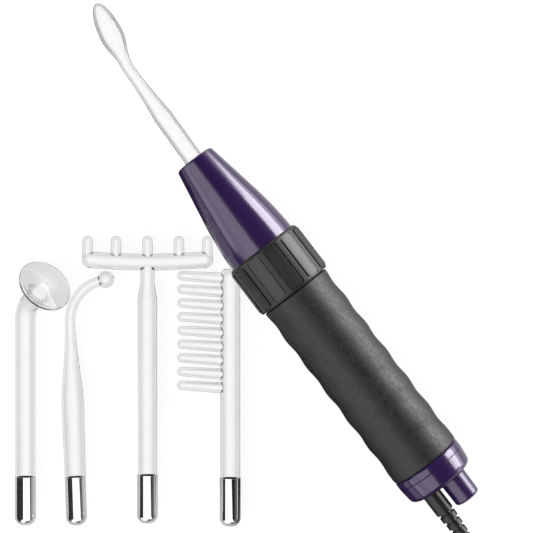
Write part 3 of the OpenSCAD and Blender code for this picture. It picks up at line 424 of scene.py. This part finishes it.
def sleeveTree(p):
    tree = bpy.data.node_groups.new("foamSleeveTree", "GeometryNodeTree")
    kinds = {name: "NodeSocketFloat" for name in sleeveInputs}
    kinds["Material"] = "NodeSocketMaterial"
    ids = {}
    for name, kind in kinds.items():
        ids[name] = tree.interface.new_socket(name, in_out="INPUT", socket_type=kind).identifier
    tree.interface.new_socket("Geometry", in_out="OUTPUT", socket_type="NodeSocketGeometry")
    given = tree.nodes.new("NodeGroupInput").outputs
    length, bore = given["Length"], given["Bore Radius"]

    def work(kind, first, second=0.0):
        return calc(tree, kind, first, second)

    def gridOf(along, around):
        grid = tree.nodes.new("GeometryNodeMeshGrid")
        sizes = {"Size X": 1, "Size Y": 1, "Vertices X": along, "Vertices Y": around + 1}
        for key, size in sizes.items():
            grid.inputs[key].default_value = size
        return grid.outputs["Mesh"]

    def joinXYZ(x, y, z):
        point = tree.nodes.new("ShaderNodeCombineXYZ")
        for value, socket in zip((x, y, z), point.inputs):
            feed(tree, value, socket)
        return point.outputs[0]

    # a flat grid's X runs along the sleeve and its Y runs round it
    split = tree.nodes.new("ShaderNodeSeparateXYZ")
    feed(tree, tree.nodes.new("GeometryNodeInputPosition").outputs[0], split.inputs[0])
    share = work("ADD", split.outputs["X"], 0.5)
    angle = work("MULTIPLY", split.outputs["Y"], 2 * math.pi)
    cosA, sinA = work("COSINE", angle), work("SINE", angle)
    # rows crowd towards both ends
    halfCosine = work("MULTIPLY", work("COSINE", work("MULTIPLY", share, math.pi)), 0.5)
    back = work("MULTIPLY", work("SUBTRACT", 0.5, halfCosine), length)
    x = work("SUBTRACT", given["Front X"], back)
    # finger waves from the front
    waved = work("MINIMUM", back, work("MULTIPLY", given["Wave Length"], given["Wave Count"]))
    phase = work("MULTIPLY", work("DIVIDE", waved, given["Wave Length"]), 2 * math.pi)
    wave = work("MULTIPLY", given["Wave Rise"], work("COSINE", phase))
    # faint lumps
    lumps = addNode(tree, "ShaderNodeTexNoise", Scale=1.0, Detail=1.0)
    spot = joinXYZ(work("MULTIPLY", x, p["lumpsAlong"]), work("MULTIPLY", cosA, p["lumpsAround"]),
                   work("MULTIPLY", sinA, p["lumpsAround"]))
    feed(tree, spot, lumps.inputs["Vector"])
    uneven = work("MULTIPLY", work("SUBTRACT", lumps.outputs["Fac"], 0.5), given["Uneven"])
    full = work("ADD", work("ADD", given["Mean Radius"], wave), uneven)
    # both ends ease down to the bore
    near = work("MINIMUM", back, work("SUBTRACT", length, back))
    inward = work("SUBTRACT", 1.0, work("DIVIDE", near, given["End Ease"]))
    drop = work("POWER", work("MAXIMUM", inward, 0.0), given["End Power"])
    hump = work("POWER", work("SUBTRACT", 1.0, drop), work("DIVIDE", 1.0, given["End Power"]))
    skinRadius = work("ADD", bore, work("MULTIPLY", work("SUBTRACT", full, bore), hump))
    straight = work("SUBTRACT", given["Front X"], work("MULTIPLY", share, length))

    def lathe(mesh, radius, along):
        spun = tree.nodes.new("GeometryNodeSetPosition")
        point = joinXYZ(along, work("ADD", given["Wand Y"], work("MULTIPLY", radius, cosA)),
                        work("ADD", given["Axis Z"], work("MULTIPLY", radius, sinA)))
        feed(tree, mesh, spun.inputs["Geometry"])
        feed(tree, point, spun.inputs["Position"])
        return spun.outputs["Geometry"]

    skin = lathe(gridOf(p["along"], p["around"]), skinRadius, x)
    turned = tree.nodes.new("GeometryNodeFlipFaces")
    feed(tree, lathe(gridOf(2, p["around"]), bore, straight), turned.inputs["Mesh"])
    both = tree.nodes.new("GeometryNodeJoinGeometry")
    feed(tree, skin, both.inputs[0])
    feed(tree, turned.outputs[0], both.inputs[0])
    weld = addNode(tree, "GeometryNodeMergeByDistance", Distance=p["weld"])
    feed(tree, both.outputs[0], weld.inputs["Geometry"])
    real = tree.nodes.new("GeometryNodeRealizeInstances")
    feed(tree, weld.outputs[0], real.inputs[0])
    dress = tree.nodes.new("GeometryNodeSetMaterial")
    feed(tree, real.outputs[0], dress.inputs["Geometry"])
    feed(tree, given["Material"], dress.inputs["Material"])
    feed(tree, dress.outputs[0], tree.nodes.new("NodeGroupOutput").inputs[0])
    return tree, ids


# plain smooth mesh of what a holder's curve or modifier makes
def plainMesh(holder, name):
    graph = bpy.context.evaluated_depsgraph_get()
    mesh = bpy.data.meshes.new_from_object(holder.evaluated_get(graph))
    mesh.name = name
    for face in mesh.polygons:
        face.use_smooth = True
    return mesh


foamLow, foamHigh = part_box("foam_grip")
foamTree, foamIds = sleeveTree(foamSleeve)
foamHolder = bpy.data.meshes.new("foamSleeve")
foamObj = link(bpy.data.objects.new("foamSleeve", foamHolder))
foamMod = foamObj.modifiers.new("sleeve", "NODES")
foamMod.node_group = foamTree
foamSet = {**foamSleeve, "Front X": foamHigh.x, "Length": foamHigh.x - foamLow.x,
           "Wand Y": wandY, "Axis Z": axisZ}
for name in sleeveInputs:
    foamMod[foamIds[name]] = float(foamSet[name])
foamMod[foamIds["Material"]] = finishes["foamSkin"]
foamMesh = plainMesh(foamObj, "foamSleeve")
foamObj.modifiers.clear()
foamObj.data = foamMesh
bpy.data.meshes.remove(foamHolder)
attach(foamObj, "handle")
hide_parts("foam_grip")
print("foam sleeve:", len(foamMesh.polygons), "faces")

# plunger spring: wound turns that shorten between the washer and the plunger's head
plungerSpring = {"thick": 0.0005, "wall": 0.0007, "turns": 3, "perTurn": 32, "clear": 0.00005,
                 "rounding": 3}


def windSpring(p):
    low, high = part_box("plunger_spring")
    middle = (low + high) / 2
    radius = (high.z - low.z - p["wall"]) / 2
    inset = p["thick"] / 2 + p["clear"]
    count = p["turns"] * p["perTurn"]
    curve = bpy.data.curves.new("plungerSpringLine", "CURVE")
    curve.dimensions = "3D"
    line = curve.splines.new("POLY")
    line.points.add(count)
    for i, point in enumerate(line.points):
        angle = 2 * math.pi * i / p["perTurn"]
        x = low.x + inset + (high.x - low.x - 2 * inset) * i / count
        point.co = (x, middle.y + radius * math.cos(angle), middle.z + radius * math.sin(angle), 1)
    curve.bevel_depth = p["thick"] / 2
    curve.bevel_resolution = p["rounding"]
    curve.use_fill_caps = True
    holder = link(bpy.data.objects.new("plungerSpringLine", curve))
    mesh = plainMesh(holder, "plungerSpring")
    bpy.data.objects.remove(holder)
    bpy.data.curves.remove(curve)
    mesh.materials.clear()
    mesh.materials.append(finishes["steel"])
    return mesh, Vector((low.x, middle.y, middle.z)), Vector((high.x, middle.y, middle.z))


springMesh, springBack, springFront = windSpring(plungerSpring)
springObj = link(bpy.data.objects.new("plungerSpring", springMesh))
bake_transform(springObj)
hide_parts("plunger_spring")
print("plunger spring:", len(springMesh.polygons), "faces")

# pale table that reads white, with the set's own shadow; for gloss alone it glows as a painted
# reflection, dark on the electrodes' side of the wand and bright well past its other side
tableTop = {"half": 4.0, "drop": 0.0003, "glow": 0.92, "shade": 0.15, "bounce": 0.3, "paintedReflection": 0.6,
            "paintedDark": 0.03, "paintedDarkFrom": (-0.02, 0.005), "paintedDarkTo": (0.08, 0.12),
            "paintedBright": 2.7, "paintedBrightTo": (-0.16, -0.09)}


def easedStep(tree, value, start, end):
    node = addNode(tree, "ShaderNodeMapRange", interpolation_type="SMOOTHSTEP")
    node.inputs["From Min"].default_value = start
    node.inputs["From Max"].default_value = end
    feed(tree, value, node.inputs["Value"])
    return node.outputs["Result"]


# a ray through glass counts as glossy too
def reflected(tree, rays):
    return calc(tree, "SUBTRACT", rays["Is Glossy Ray"], rays["Is Transmission Ray"])


def emptyFinish(name):
    mat = bpy.data.materials.new(name)
    mat.use_nodes = True
    mat.node_tree.nodes.clear()
    return mat, mat.node_tree


def tableFinish(p):
    mat, tree = emptyFinish("paleTable")
    rays = addNode(tree, "ShaderNodeLightPath").outputs
    split = addNode(tree, "ShaderNodeSeparateXYZ")
    feed(tree, addNode(tree, "ShaderNodeTexCoord").outputs["Object"], split.inputs[0])

    def past(band):
        start, end = (wandY + side for side in band)
        return easedStep(tree, split.outputs["Y"], start, end)

    def before(band):
        return calc(tree, "SUBTRACT", 1.0, past(band))

    def times(first, second):
        return calc(tree, "MULTIPLY", first, second)

    # painted reflection: a dark band beside the wand and a bright band well past it, seen by gloss
    # only
    paintedDarkBand = times(past(p["paintedDarkFrom"]), before(p["paintedDarkTo"]))
    paintedReflection = calc(tree, "SUBTRACT", p["paintedReflection"], times(paintedDarkBand, p["paintedReflection"] - p["paintedDark"]))
    paintedBrightBand = times(before(p["paintedBrightTo"]), p["paintedBright"] - p["paintedReflection"])
    paintedReflection = calc(tree, "ADD", paintedReflection, paintedBrightBand)
    seen = calc(tree, "ADD", times(rays["Is Camera Ray"], p["glow"]), rays["Is Transmission Ray"])
    level = calc(tree, "ADD", seen, times(reflected(tree, rays), paintedReflection))
    tone = calc(tree, "ADD", times(rays["Is Camera Ray"], p["shade"]),
                times(rays["Is Diffuse Ray"], p["bounce"]))
    glow = addNode(tree, "ShaderNodeEmission")
    feed(tree, level, glow.inputs["Strength"])
    matt = addNode(tree, "ShaderNodeBsdfDiffuse")
    feed(tree, tone, matt.inputs["Color"])
    both = addNode(tree, "ShaderNodeAddShader")
    feed(tree, glow.outputs[0], both.inputs[0])
    feed(tree, matt.outputs[0], both.inputs[1])
    feed(tree, both.outputs[0], addNode(tree, "ShaderNodeOutputMaterial").inputs["Surface"])
    return mat


# one flat four-cornered sheet, part of the stage
def stageSheet(name, corners, finish):
    mesh = bpy.data.meshes.new(name)
    mesh.from_pydata(corners, [], [(0, 1, 2, 3)])
    mesh.materials.append(finish)
    sheet = link(bpy.data.objects.new(name, mesh))
    return sheet


half, tableZ = tableTop["half"], -tableTop["drop"]
tableCorners = [(-half, -half, tableZ), (half, -half, tableZ), (half, half, tableZ),
                (-half, half, tableZ)]
stageSheet("tableTop", tableCorners, tableFinish(tableTop))

# studio lamps: a low strip along the wand's far side, a wide soft panel on the electrodes' side;
# edges are (across, up) from the wand's axis
stripLamp = {"near": (-0.50, -0.01), "far": (-0.50, 0.28), "from": -0.34, "to": 0.225,
             "radiance": 9.0}
panelLamp = {"near": (0.17, 0.90), "far": (0.95, 0.15), "from": -0.75, "to": 0.65,
             "radiance": 1.65}


def areaLamp(name, p):
    nearEdge, farEdge = Vector((0, *p["near"])), Vector((0, *p["far"]))
    middle = (nearEdge + farEdge) / 2
    data = bpy.data.lights.new(name, "AREA")
    data.shape = "RECTANGLE"
    data.size = p["to"] - p["from"]
    data.size_y = (nearEdge - farEdge).length
    data.energy = p["radiance"] * math.pi * data.size * data.size_y
    lamp = link(bpy.data.objects.new(name, data))
    lamp.location = Vector(((p["from"] + p["to"]) / 2, wandY, axisZ)) + middle
    face = Vector((1, 0, 0)).cross(farEdge - nearEdge).normalized()
    if face.dot(-middle) < 0:
        face = -face
    lamp.rotation_mode = "QUATERNION"
    lamp.rotation_quaternion = face.to_track_quat("-Z", "Y")
    lamp.visible_camera = False
    lamp.visible_transmission = False


areaLamp("stripLamp", stripLamp)
areaLamp("panelLamp", panelLamp)

# room: white to the camera, dim overhead for reflections, a little fill for everything else
room = {"fill": 0.056, "through": 0.32, "horizon": 0.32, "wall": 0.144, "wallUp": 0.3,
        "ceiling": 0.016, "ceilingUp": 0.75}


def setRoom(p):
    world = bpy.data.worlds.new("room")
    scene.world = world
    world.use_nodes = True
    tree = world.node_tree
    tree.nodes.clear()
    rays = addNode(tree, "ShaderNodeLightPath").outputs
    split = addNode(tree, "ShaderNodeSeparateXYZ")
    feed(tree, addNode(tree, "ShaderNodeTexCoord").outputs["Generated"], split.inputs[0])
    tones = ((0.0, grey(p["horizon"])), (p["wallUp"], grey(p["wall"])),
             (p["ceilingUp"], grey(p["ceiling"])))
    walls = ramp(tree, split.outputs["Z"], tones)
    level = calc(tree, "MULTIPLY", reflected(tree, rays), walls)
    for ray, amount in (("Is Transmission Ray", p["through"]), ("Is Diffuse Ray", p["fill"])):
        level = calc(tree, "ADD", level, calc(tree, "MULTIPLY", rays[ray], amount))
    level = calc(tree, "MAXIMUM", level, rays["Is Camera Ray"])
    backdrop = addNode(tree, "ShaderNodeBackground", Color=(1, 1, 1, 1))
    feed(tree, level, backdrop.inputs["Strength"])
    feed(tree, backdrop.outputs[0], addNode(tree, "ShaderNodeOutputWorld").inputs["Surface"])


setRoom(room)

# painted reflections: cards that only gloss sees, by the spare electrodes' caps: a dark one to
# their left, a bright one above
capCards = {"caps": "mushroom_cap", "beside": 0.055, "tall": 0.20, "over": 0.10, "left": 0.02,
            "fromWand": 0.075, "reach": 0.16, "paintedDarkEnds": (-0.08, 0.03), "paintedDark": 0.02,
            "paintedBright": 1.3}


def paintedReflectionCard(name, corners, level):
    finish, tree = emptyFinish(name)
    glow = addNode(tree, "ShaderNodeEmission", Strength=level)
    feed(tree, glow.outputs[0], addNode(tree, "ShaderNodeOutputMaterial").inputs["Surface"])
    finish.cycles.emission_sampling = "NONE"
    card = stageSheet(name, corners, finish)
    card.visible_camera = card.visible_diffuse = False
    card.visible_transmission = card.visible_shadow = False


def setCapCards(p):
    pictureTurn = cameraObj.rotation_euler.to_matrix()
    right, up = pictureTurn @ Vector((1, 0, 0)), pictureTurn @ Vector((0, 1, 0))
    low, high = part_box(p["caps"])
    firstCap = Vector(((low.x + high.x) / 2, (low.y + high.y) / 2, 0))
    edge = firstCap - right * p["beside"]
    lift = Vector((0, 0, p["tall"]))
    start, end = (edge + up * along for along in p["paintedDarkEnds"])
    paintedReflectionCard("paintedDarkReflectionCard", [start, end, end + lift, start + lift], p["paintedDark"])
    corner = firstCap - right * p["left"] + Vector((0, 0, p["over"]))
    near, far = corner - up * p["reach"], corner + up * p["reach"]
    # both right-hand corners stop short of the wand
    nearWidth, farWidth = ((v.y - wandY - p["fromWand"]) / -right.y for v in (near, far))
    paintedReflectionCard("paintedBrightReflectionCard", [near, far, far + right * farWidth, near + right * nearWidth],
              p["paintedBright"])


setCapCards(capCards)
print("studio set")
